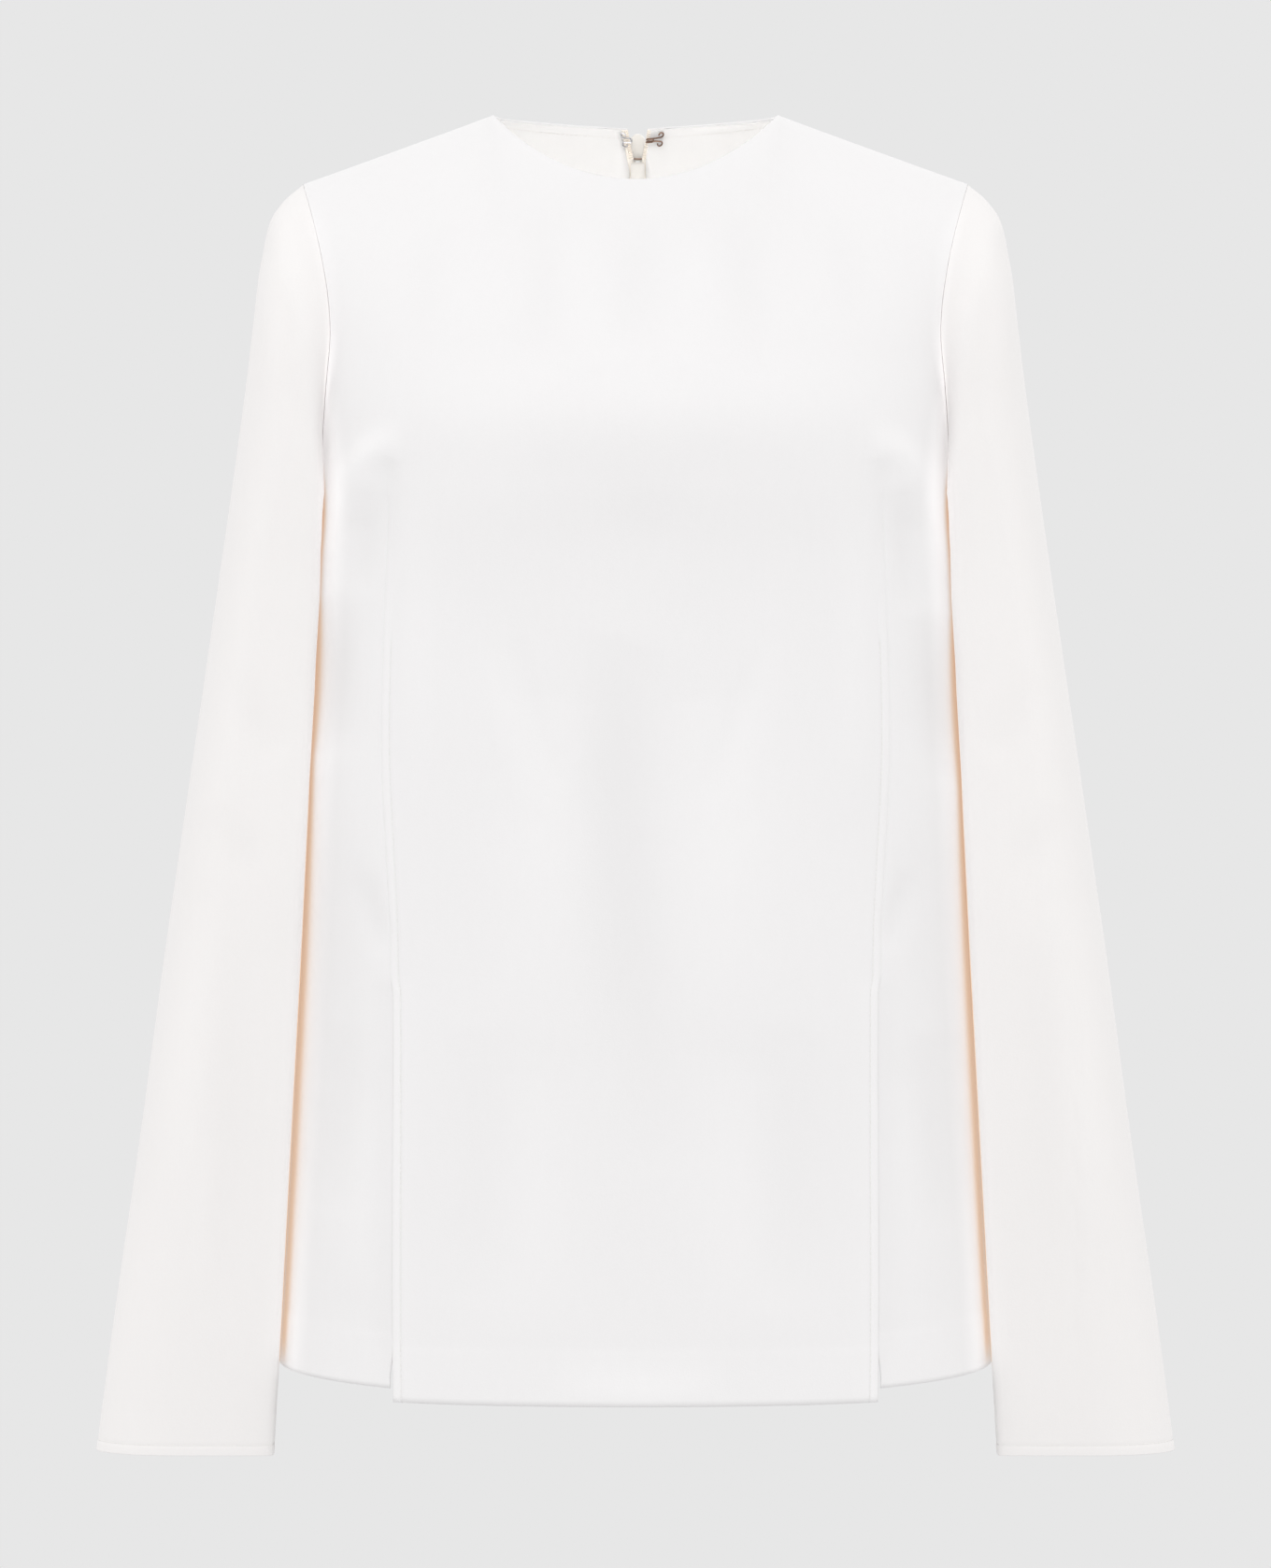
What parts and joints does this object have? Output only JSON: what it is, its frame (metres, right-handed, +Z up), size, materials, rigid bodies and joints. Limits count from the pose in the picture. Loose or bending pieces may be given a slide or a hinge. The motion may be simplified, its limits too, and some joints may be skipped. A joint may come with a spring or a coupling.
{
  "type": "wool blouse",
  "caption": "Long-sleeved round-neck wool blouse with long front darts that open into slits, and a back-neck zip with hook and eye.",
  "frame": {"origin": "middle of the neck opening, level with the tops of the shoulder seams, where the wearer's shoulders carry the blouse", "axes": "+Z up, the front faces -Y, +X towards the wearer's left side"},
  "size_m": [0.572, 0.2482, 0.7136],
  "materials": {
    "wool": "matt ivory wool crepe",
    "facing": "matt ivory wool crepe, wrong side",
    "tape": "ecru woven polyester tape",
    "coil": "cream nylon coil",
    "enamel": "cream enamelled zinc",
    "bronze": "dark bronze lacquered wire",
    "nickel": "nickel-plated wire"
  },
  "bodies": {
    "blouse": {"front": "wool", "back_left": "wool", "back_right": "wool", "sleeve_left": "wool", "sleeve_right": "wool", "neck_facing_left": "facing", "neck_facing_right": "facing", "zip_tape_left": "tape", "zip_tape_right": "tape", "zip_chain": "coil", "zip_slider": "enamel", "hook": "bronze", "eye": "nickel"},
    "pull_tab": {"zip_pull": "enamel"}
  },
  "joints": [
    {"name": "zip_pull_swing", "type": "hinge", "parent": "blouse", "child": "pull_tab", "pos_m": [0.0012, 0.07564, -0.01879], "axis": [-1, 0, 0], "range_deg": [0, 170]}
  ]
}
